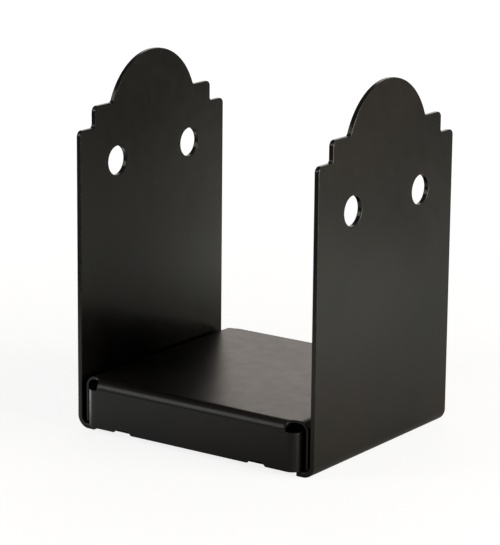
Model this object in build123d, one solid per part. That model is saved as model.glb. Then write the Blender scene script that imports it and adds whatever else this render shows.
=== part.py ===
"""Ornamental standoff post base: a bent sheet-steel U strap with stepped, domed side plates,
and the folded pan that sits in its base and holds a square timber post clear of the ground.

Frame: millimetres, +Z up, origin on the ground at the middle of the strap's base.
X runs from one side plate to the other, and -Y is the front.
"""
from build123d import *
import math
import os

# ---- Sheet and bends -------------------------------------------------------------------
sheet = 2.66                     # the strap's steel sheet, twelve gauge
pan_sheet = 1.52                 # the pan's steel sheet, sixteen gauge
strap_bend_inside = 4.0          # inside radius where the side plates turn up from the base
pan_bend_inside = 3.8            # inside radius of every fold of the pan

# ---- Strap -----------------------------------------------------------------------------
post_width = 139.7               # square timber post that the strap takes
post_clearance = 1.6             # play between the post and the two side plates together
plate_depth = 122.7              # front to back
lower_shoulder_height = 155.1
upper_shoulder_rise = 10.9       # from the lower shoulder up to the upper one
upper_shoulder_width = 98.6
dome_centre_drop = 13.1          # from the upper shoulder down to the dome's centre
dome_radius = 36.6
outer_corner_radius = 3.0        # convex corners of the stepped outline
inner_corner_radius = 1.8        # concave corners of the stepped outline

screw_hole_diameter = 15.2
screw_hole_spacing = 61.6
left_hole_height = 135.4         # the two plates' holes are staggered, so that
right_hole_height = 128.6        # screws from opposite sides pass each other in the post

anchor_hole_diameter = 17.5      # for a 5/8 inch anchor bolt
base_edge_setback = 5.0          # how far the base's front and back edges stand in
base_shoulder_width = 4.0        # full-depth strip of base left beside each bend
base_edge_corner_radius = 3.0

# ---- Standoff pan ----------------------------------------------------------------------
pan_height = 25.4                # standoff of one inch
pan_side_gap = 1.95              # between each side flange and its side plate
pan_front_gap = 2.74             # between the strap's edge and the front or back flange
corner_return_gap = 2.0          # between a corner return and the side flange beside it
corner_return_length = 14.0      # from the front face to the return's end
corner_relief_radius = 5.5       # round opening where three folds meet at a corner
bend_clearance = 0.1             # between a side flange's edge and the strap's inside bend

drain_notch_offset = 41.5        # from the middle of the flange to the middle of a notch
drain_notch_width = 10.8
drain_notch_top_width = 7.4
drain_notch_height = 2.2

# ---- Worked out from the sizes above -----------------------------------------------------
inner_width = post_width + post_clearance
outer_width = inner_width + 2 * sheet
upper_shoulder_height = lower_shoulder_height + upper_shoulder_rise
dome_centre_height = upper_shoulder_height - dome_centre_drop
dome_foot = math.sqrt(dome_radius**2 - dome_centre_drop**2)   # half width at the upper shoulder
total_height = dome_centre_height + dome_radius
base_flat_width = inner_width - 2 * strap_bend_inside
base_cut_width = base_flat_width - 2 * base_shoulder_width

pan_bend_outside = pan_bend_inside + pan_sheet
pan_bottom = sheet
pan_top = pan_bottom + pan_height
fold_line = pan_top - pan_bend_outside          # the flanges are upright below this height
pan_width = inner_width - 2 * pan_side_gap
pan_depth = plate_depth + 2 * (pan_front_gap + pan_sheet)
side_fold_spacing = pan_width - 2 * pan_bend_outside
return_width = pan_width - 2 * (pan_sheet + corner_return_gap)
side_flange_length = pan_depth - 2 * corner_relief_radius


def side_flange_bottom():
    """Height at which a side flange's outer edge clears the strap's inside bend."""
    past_bend_start = (pan_width - base_flat_width) / 2
    if past_bend_start <= 0:
        return pan_bottom
    run = min(past_bend_start, strap_bend_inside)
    rise = strap_bend_inside - math.sqrt(strap_bend_inside**2 - run**2)
    return pan_bottom + rise + bend_clearance


def corners_at(shape, across, height):
    """The outline's corners that lie the given distance either side of the middle."""
    return [
        v for v in shape.vertices()
        if abs(abs(v.X) - across) < 0.01 and abs(v.Y - height) < 0.01
    ]


def plate_outline():
    """Outline of a side plate: a tall panel, a narrower step on it, and a dome on top."""
    panel = Pos(0, lower_shoulder_height / 2) * Rectangle(plate_depth, lower_shoulder_height)
    step = Pos(0, upper_shoulder_height / 2) * Rectangle(upper_shoulder_width, upper_shoulder_height)
    dome = Pos(0, dome_centre_height) * Circle(dome_radius)
    outline = panel + step + dome
    outline = fillet(corners_at(outline, dome_foot, upper_shoulder_height), inner_corner_radius)
    outline = fillet(
        corners_at(outline, upper_shoulder_width / 2, lower_shoulder_height), inner_corner_radius
    )
    outline = fillet(
        corners_at(outline, upper_shoulder_width / 2, upper_shoulder_height), outer_corner_radius
    )
    return fillet(corners_at(outline, plate_depth / 2, lower_shoulder_height), outer_corner_radius)


def folded_section(width, height, thickness, inside_radius):
    """A U of one sheet seen end on, open at the top, its base's underside at height zero."""
    outer = Pos(0, height / 2) * Rectangle(width, height)
    outer = fillet(corners_at(outer, width / 2, 0), inside_radius + thickness)
    inner = Pos(0, thickness + height / 2) * Rectangle(width - 2 * thickness, height)
    inner = fillet(corners_at(inner, width / 2 - thickness, thickness), inside_radius)
    return outer - inner


def screw_holes(side, height):
    """The two holes through one side plate: side is -1 for the left plate, 1 for the right."""
    plate_middle = side * (inner_width + sheet) / 2
    drill = Rot(0, 90, 0) * Cylinder(screw_hole_diameter / 2, 3 * sheet)
    front = Pos(plate_middle, -screw_hole_spacing / 2, height) * drill
    back = Pos(plate_middle, screw_hole_spacing / 2, height) * drill
    return front + back


def base_edge_cut(side):
    """The strip taken off the base's front edge, side -1, or its back edge, side 1."""
    strip = RectangleRounded(base_cut_width, 2 * base_edge_setback, base_edge_corner_radius)
    return Pos(0, side * plate_depth / 2, -sheet) * extrude(strip, 3 * sheet)


def make_strap():
    """The U strap, bent from one blank whose two ends carry the stepped outline."""
    section = folded_section(outer_width, total_height, sheet, strap_bend_inside)
    strap = extrude(Plane.XZ * section, plate_depth / 2, both=True)
    strap &= extrude(Plane.YZ * plate_outline(), outer_width, both=True)
    strap -= screw_holes(-1, left_hole_height)
    strap -= screw_holes(1, right_hole_height)
    strap -= Pos(0, 0, sheet / 2) * Cylinder(anchor_hole_diameter / 2, 3 * sheet)
    strap -= base_edge_cut(-1)
    strap -= base_edge_cut(1)
    return strap


def pan_fold(width, bottom):
    """Upside-down U section of the pan: its top, two folds and two flanges down to bottom."""
    section = folded_section(width, pan_top - bottom, pan_sheet, pan_bend_inside)
    return Pos(0, pan_top) * mirror(section, about=Plane.XZ)


def corner_returns():
    """The front and back flanges below the fold line, with their ends turned back."""
    outer = RectangleRounded(return_width, pan_depth, pan_bend_outside)
    inner = RectangleRounded(return_width - 2 * pan_sheet, pan_depth - 2 * pan_sheet, pan_bend_inside)
    open_middle = Rectangle(2 * return_width, pan_depth - 2 * corner_return_length)
    return Pos(0, 0, pan_bottom) * extrude(outer - inner - open_middle, fold_line - pan_bottom)


def corner_reliefs():
    """The round openings, one at each corner of the top, down to the flanges' fold line."""
    cutter = extrude(Circle(corner_relief_radius), 2 * pan_bend_outside)
    corners = GridLocations(side_fold_spacing, pan_depth, 2, 2)
    return [Pos(0, 0, fold_line) * corner * cutter for corner in corners]


def drain_notches():
    """The shallow notches in the lower edges of the front and back flanges."""
    half_base = drain_notch_width / 2
    half_top = drain_notch_top_width / 2
    notch = make_face(
        Polyline(
            (-half_base, -sheet), (half_base, -sheet), (half_base, 0),
            (half_top, drain_notch_height), (-half_top, drain_notch_height), (-half_base, 0),
            close=True,
        )
    )
    cutter = extrude(Plane.XZ * notch, pan_depth, both=True)
    return [Pos(side * drain_notch_offset, 0, pan_bottom) * cutter for side in (-1, 1)]


def make_pan():
    """The standoff pan: a top with four folded flanges, turned at the corners."""
    front_to_back = pan_fold(pan_depth, fold_line)
    side_to_side = pan_fold(pan_width, side_flange_bottom())
    pan = extrude(Plane.YZ * front_to_back, side_fold_spacing / 2, both=True)
    pan -= corner_reliefs()
    pan += extrude(Plane.XZ * side_to_side, side_flange_length / 2, both=True)
    pan += corner_returns()
    pan -= drain_notches()
    return pan


pieces = {"strap": make_strap(), "standoff_pan": make_pan()}

os.makedirs("parts", exist_ok=True)
for name, piece in pieces.items():
    export_step(piece, f"parts/{name}.step")
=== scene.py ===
"""Looks of the post base bracket: a bent sheet-steel strap and the folded pan that lies in it,
both in a satin black powder coat, on a plain pale floor under soft studio light."""
import bpy
import math
from mathutils import Euler, Matrix, Vector


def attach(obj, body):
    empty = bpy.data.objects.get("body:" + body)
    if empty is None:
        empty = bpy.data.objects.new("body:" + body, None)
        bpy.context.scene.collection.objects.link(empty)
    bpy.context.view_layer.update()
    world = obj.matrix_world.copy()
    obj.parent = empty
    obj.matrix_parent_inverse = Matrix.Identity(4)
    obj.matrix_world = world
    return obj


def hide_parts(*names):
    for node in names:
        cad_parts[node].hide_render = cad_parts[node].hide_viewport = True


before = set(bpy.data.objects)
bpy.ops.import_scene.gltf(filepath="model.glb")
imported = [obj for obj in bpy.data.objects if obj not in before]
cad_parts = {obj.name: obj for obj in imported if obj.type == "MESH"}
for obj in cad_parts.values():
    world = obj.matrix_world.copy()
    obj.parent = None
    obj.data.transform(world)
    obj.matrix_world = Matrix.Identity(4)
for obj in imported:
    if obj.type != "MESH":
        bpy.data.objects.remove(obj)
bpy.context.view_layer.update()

MILLIMETRE = 0.001                        # every length is in metres

# ---- Coat on the cut edges ---------------------------------------------------------------
COAT_EDGE_RADIUS = 0.45 * MILLIMETRE      # how far the coat rounds each cut edge of the sheet
COAT_EDGE_STEPS = 3
SHARP_EDGE_ANGLE = math.radians(35)       # cut edges are sharper than this, bends are smoother
DOUBLES_DISTANCE = 0.02 * MILLIMETRE
FLAT_ANGLE = math.radians(0.5)

# ---- Powder coat -------------------------------------------------------------------------
COAT_IOR = 1.5
CLOUD_SCALE, CLOUD_DETAIL = 14.0, 2.0     # scales are per metre
MOTTLE_SCALE, MOTTLE_DETAIL = 160.0, 4.0
PEEL_SCALE, PEEL_DETAIL = 700.0, 2.0
PEEL_STRENGTH = 0.2
PEEL_DEPTH = 0.03 * MILLIMETRE
NOISE_SPREAD = (0.3, 0.7)                 # where a noise's values mostly lie

GREENISH_BLACK = (0.0100, 0.0110, 0.0095)
WARM_BLACK = (0.0210, 0.0172, 0.0155)
# The coat on the rounded cut edges is a shade lighter than on the faces: a painted highlight
# along every cut edge.
EDGE_HIGHLIGHT_DARK = (0.022, 0.022, 0.021)
EDGE_HIGHLIGHT_LIGHT = (0.030, 0.029, 0.028)
STRAP_ROUGHNESS = (0.17, 0.24)
STRAP_GLOSS_TINT = (1.0, 1.0, 0.86)
PAN_ROUGHNESS = (0.31, 0.36)
EDGE_ROUGHNESS = (0.24, 0.30)

# ---- Camera ------------------------------------------------------------------------------
CAMERA_PLACE = Vector((0.7582, -1.0935, 0.4132))
CAMERA_TURN = math.radians(35.05)         # to the right of the front
CAMERA_DOWN = math.radians(14.03)         # below the horizon
CAMERA_ROLL = math.radians(0.57)
CAMERA_LENS = 177.0                       # millimetres, on a sensor of the height below
SENSOR_HEIGHT = 36.0

# ---- Floor -------------------------------------------------------------------------------
FLOOR_SIZE = 12.0
FLOOR_GREY = 0.45
FLOOR_ROUGHNESS = 0.9
FLOOR_WHITENS = ((0.15, 0.8), (0.85, 1.0))    # from near to far, its lift to white
FLOOR_PAINTED_GLOW_IN_GLOSS = ((0.1, 0.5), (0.04, 0))      # from near to far, a painted glow of light on it, seen only in the coat's gloss
FLOOR_PAINTED_POOLS = (                             # painted pools of light there, seen only in the gloss: middle, reach and light
    ((0.00, 0.70), 0.42, 2.1),                # far behind
    ((0.00, 0.38), 0.22, 1.5),                # behind
    ((0.42, 0.14), 0.42, 0.6),                # at the right
    ((-0.12, -0.20), 0.24, 0.50),             # at the front left
    ((-0.14, -0.04), 0.08, 3.0),              # beside the left plate
)

# ---- Room and lamps ----------------------------------------------------------------------
SWEEP_DIRECTION = Vector((-0.57, 0.80, 0.20)).normalized()
SWEEP_EDGE = (0.86, 0.95)                 # cosines of the angle at which the sweep fades in
ROOM_LIGHT = 0.02
SWEEP_LIGHT = 1.2
CEILING_EDGE = (0.5, 0.9)                 # the same for the ceiling
CEILING_LIGHT = 0.10
ROOM_TINT = (1.0, 0.92, 0.85)
WHITE = (1, 1, 1)
LAMP_AIM = (0, 0, 0.05)


# ---- Nodes -------------------------------------------------------------------------------
def new_material(name):
    """A new node material, with its nodes and links."""
    material = bpy.data.materials.new(name)
    material.use_nodes = True
    return material, material.node_tree.nodes, material.node_tree.links


def noise(nodes, links, vector, scale, detail):
    """The value of a noise texture at the vector."""
    texture = nodes.new("ShaderNodeTexNoise")
    texture.inputs["Scale"].default_value = scale
    texture.inputs["Detail"].default_value = detail
    links.new(vector, texture.inputs["Vector"])
    return texture.outputs["Fac"]


def map_range(nodes, links, value, source, target, interpolation="LINEAR"):
    """The value taken from one range to another."""
    ramp = nodes.new("ShaderNodeMapRange")
    ramp.interpolation_type = interpolation
    ramp.inputs["From Min"].default_value, ramp.inputs["From Max"].default_value = source
    ramp.inputs["To Min"].default_value, ramp.inputs["To Max"].default_value = target
    links.new(value, ramp.inputs["Value"])
    return ramp.outputs["Result"]


def math_node(nodes, links, operation, first, second):
    """The result of the operation on two values."""
    node = nodes.new("ShaderNodeMath")
    node.operation = operation
    links.new(first, node.inputs[0])
    links.new(second, node.inputs[1])
    return node.outputs["Value"]


def distance(nodes, links, vector, middle):
    """How far the vector is from a place on the ground."""
    node = nodes.new("ShaderNodeVectorMath")
    node.operation = "DISTANCE"
    node.inputs[1].default_value = (*middle, 0)
    links.new(vector, node.inputs[0])
    return node.outputs["Value"]


def facing(nodes, links, vector, direction):
    """How nearly the vector points in the direction, one where it does."""
    node = nodes.new("ShaderNodeVectorMath")
    node.operation = "DOT_PRODUCT"
    node.inputs[1].default_value = direction
    links.new(vector, node.inputs[0])
    return node.outputs["Value"]


def mix_colours(nodes, links, factor, first, second):
    """The first colour where the factor is zero, and the second where it is one."""
    mix = nodes.new("ShaderNodeMix")
    mix.data_type = "RGBA"
    mix.inputs["A"].default_value = (*first, 1)
    mix.inputs["B"].default_value = (*second, 1)
    links.new(factor, mix.inputs["Factor"])
    return mix.outputs["Result"]


# ---- Pieces ------------------------------------------------------------------------------
def powder_coat(name, dark, light, roughness, gloss_tint=WHITE):
    """Satin powder coat: orange peel, faint clouds of two blacks, and gloss that varies."""
    material, nodes, links = new_material(name)
    shader = nodes["Principled BSDF"]
    shader.inputs["IOR"].default_value = COAT_IOR
    shader.inputs["Specular Tint"].default_value = (*gloss_tint, 1)

    place = nodes.new("ShaderNodeTexCoord").outputs["Object"]
    clouds = noise(nodes, links, place, CLOUD_SCALE, CLOUD_DETAIL)
    mottle = noise(nodes, links, place, MOTTLE_SCALE, MOTTLE_DETAIL)
    peel = noise(nodes, links, place, PEEL_SCALE, PEEL_DETAIL)

    share = map_range(nodes, links, clouds, NOISE_SPREAD, (0, 1))
    tone = mix_colours(nodes, links, share, dark, light)
    links.new(tone, shader.inputs["Base Color"])
    sheen = map_range(nodes, links, mottle, NOISE_SPREAD, roughness)
    links.new(sheen, shader.inputs["Roughness"])

    bump = nodes.new("ShaderNodeBump")
    bump.inputs["Strength"].default_value = PEEL_STRENGTH
    bump.inputs["Distance"].default_value = PEEL_DEPTH
    links.new(peel, bump.inputs["Height"])
    links.new(bump.outputs["Normal"], shader.inputs["Normal"])
    return material


def coated_copy(node, name, face_material, edge_highlight_material):
    """A copy of a CAD node with its cut edges rounded by the coat, in that node's place. The
    rounded edges take the second material, whose lighter colour is a painted highlight.
    """
    bpy.ops.object.select_all(action="DESELECT")
    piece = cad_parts[node].copy()
    piece.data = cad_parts[node].data.copy()
    piece.parent = None
    piece.name = name
    piece.data.name = name
    for key in list(piece.keys()):        # the marks of the node are not the copy's
        del piece[key]
    bpy.context.scene.collection.objects.link(piece)
    piece.select_set(True)
    bpy.context.view_layer.objects.active = piece

    bpy.ops.object.mode_set(mode="EDIT")
    bpy.ops.mesh.select_all(action="SELECT")
    bpy.ops.mesh.remove_doubles(threshold=DOUBLES_DISTANCE)
    bpy.ops.mesh.customdata_custom_splitnormals_clear()
    bpy.ops.mesh.dissolve_limited(angle_limit=FLAT_ANGLE)
    bpy.ops.object.mode_set(mode="OBJECT")
    bpy.ops.object.shade_smooth()

    piece.data.materials.clear()
    piece.data.materials.append(face_material)
    piece.data.materials.append(edge_highlight_material)
    bevel = piece.modifiers.new("coated_edges", "BEVEL")
    bevel.width = COAT_EDGE_RADIUS
    bevel.segments = COAT_EDGE_STEPS
    bevel.limit_method = "ANGLE"
    bevel.angle_limit = SHARP_EDGE_ANGLE
    bevel.use_clamp_overlap = False
    bevel.miter_outer = "MITER_ARC"
    bevel.harden_normals = True
    bevel.material = 1                    # the place in the list of the edge material, whose lighter colour is a painted highlight
    bpy.ops.object.modifier_apply(modifier=bevel.name)

    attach(piece, "root")
    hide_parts(node)


# ---- Studio ------------------------------------------------------------------------------
def add_camera():
    """The camera, from the front right and a little above."""
    data = bpy.data.cameras.new("camera")
    data.sensor_fit = "VERTICAL"
    data.sensor_height = SENSOR_HEIGHT
    data.lens = CAMERA_LENS
    camera = bpy.data.objects.new("camera", data)
    bpy.context.scene.collection.objects.link(camera)
    aim = Euler((math.pi / 2 - CAMERA_DOWN, 0, CAMERA_TURN)).to_matrix()
    roll = Matrix.Rotation(CAMERA_ROLL, 3, "Z")
    camera.matrix_world = Matrix.Translation(CAMERA_PLACE) @ (aim @ roll).to_4x4()
    bpy.context.scene.camera = camera


def add_softbox(name, place, width, height, radiance, tint=WHITE):
    """A rectangular lamp, aimed at the bracket, whose face has the given radiance."""
    data = bpy.data.lights.new(name, "AREA")
    data.shape = "RECTANGLE"
    data.size = width
    data.size_y = height
    data.energy = math.pi * width * height * radiance
    data.color = tint
    lamp = bpy.data.objects.new(name, data)
    bpy.context.scene.collection.objects.link(lamp)
    lamp.location = place
    turn = (Vector(LAMP_AIM) - Vector(place)).to_track_quat("-Z", "Y")
    lamp.rotation_euler = turn.to_euler()
    lamp.visible_camera = False


def add_floor():
    """A wide pale floor at the strap's base. The camera sees it turn white away from the object,
    and the coat's gloss sees it dim, with a painted glow near the object and a few painted pools
    of light."""
    bpy.ops.mesh.primitive_plane_add(size=FLOOR_SIZE, location=(0, 0, 0))
    floor = bpy.context.active_object
    floor.name = "floor"
    material, nodes, links = new_material("pale_floor")
    shader = nodes["Principled BSDF"]
    shader.inputs["Base Color"].default_value = (FLOOR_GREY, FLOOR_GREY, FLOOR_GREY, 1)
    shader.inputs["Roughness"].default_value = FLOOR_ROUGHNESS
    shader.inputs["Specular IOR Level"].default_value = 0.0

    place = nodes.new("ShaderNodeTexCoord").outputs["Object"]
    away = distance(nodes, links, place, (0, 0))
    white = map_range(nodes, links, away, *FLOOR_WHITENS)
    painted_light_in_gloss = map_range(nodes, links, away, *FLOOR_PAINTED_GLOW_IN_GLOSS)
    # Painted pools of light, which the floor emits for glossy rays only.
    for middle, reach, strength in FLOOR_PAINTED_POOLS:
        from_middle = distance(nodes, links, place, middle)
        painted_pool = map_range(nodes, links, from_middle, (0, reach), (strength, 0), "SMOOTHSTEP")
        painted_light_in_gloss = math_node(nodes, links, "ADD", painted_light_in_gloss, painted_pool)

    ray = nodes.new("ShaderNodeLightPath").outputs
    # Only glossy rays see the painted glow and pools of light; the camera sees white.
    gloss = math_node(nodes, links, "MULTIPLY", ray["Is Glossy Ray"], painted_light_in_gloss)
    seen = math_node(nodes, links, "MULTIPLY", ray["Is Camera Ray"], white)
    glow = nodes.new("ShaderNodeEmission")
    glow.inputs["Color"].default_value = (*WHITE, 1)
    links.new(math_node(nodes, links, "ADD", seen, gloss), glow.inputs["Strength"])
    both = nodes.new("ShaderNodeAddShader")
    links.new(shader.outputs["BSDF"], both.inputs[0])
    links.new(glow.outputs["Emission"], both.inputs[1])
    links.new(both.outputs["Shader"], nodes["Material Output"].inputs["Surface"])
    floor.data.materials.append(material)


def add_world():
    """White to the camera. All else is lit by a dim warm room, with a bright sweep at its back
    left and a faint ceiling."""
    world = bpy.data.worlds.new("studio")
    bpy.context.scene.world = world
    world.use_nodes = True
    nodes, links = world.node_tree.nodes, world.node_tree.links
    background = nodes["Background"]

    place = nodes.new("ShaderNodeTexCoord").outputs["Generated"]
    to_sweep = facing(nodes, links, place, SWEEP_DIRECTION)
    sweep = map_range(nodes, links, to_sweep, SWEEP_EDGE, (ROOM_LIGHT, SWEEP_LIGHT), "SMOOTHSTEP")
    upwards = facing(nodes, links, place, (0, 0, 1))
    ceiling = map_range(nodes, links, upwards, CEILING_EDGE, (0, CEILING_LIGHT), "SMOOTHSTEP")
    room = math_node(nodes, links, "ADD", sweep, ceiling)

    to_camera = nodes.new("ShaderNodeLightPath").outputs["Is Camera Ray"]
    colour = mix_colours(nodes, links, to_camera, ROOM_TINT, WHITE)
    links.new(colour, background.inputs["Color"])
    light = math_node(nodes, links, "MAXIMUM", to_camera, room)
    links.new(light, background.inputs["Strength"])


strap_coat = powder_coat(
    "strap_powder_coat", GREENISH_BLACK, WARM_BLACK, STRAP_ROUGHNESS, STRAP_GLOSS_TINT
)
pan_coat = powder_coat("pan_powder_coat", GREENISH_BLACK, WARM_BLACK, PAN_ROUGHNESS)
# The lighter coat of the rounded cut edges paints a highlight along them.
edge_highlight_coat = powder_coat("powder_coat_painted_edge_highlight", EDGE_HIGHLIGHT_DARK, EDGE_HIGHLIGHT_LIGHT, EDGE_ROUGHNESS)
coated_copy("strap", "strap_coated", strap_coat, edge_highlight_coat)
coated_copy("standoff_pan", "standoff_pan_coated", pan_coat, edge_highlight_coat)
add_floor()
add_world()
add_softbox(
    "right_softbox", place=(1.08, 0.15, 0.18), width=0.75, height=0.33,
    radiance=14.0, tint=(1.0, 0.97, 0.88),
)
add_softbox(
    "front_left_softbox", place=(-0.62, -0.74, 0.52), width=0.5, height=0.5, radiance=2.0
)
add_camera()
bpy.context.scene.view_settings.view_transform = "Standard"
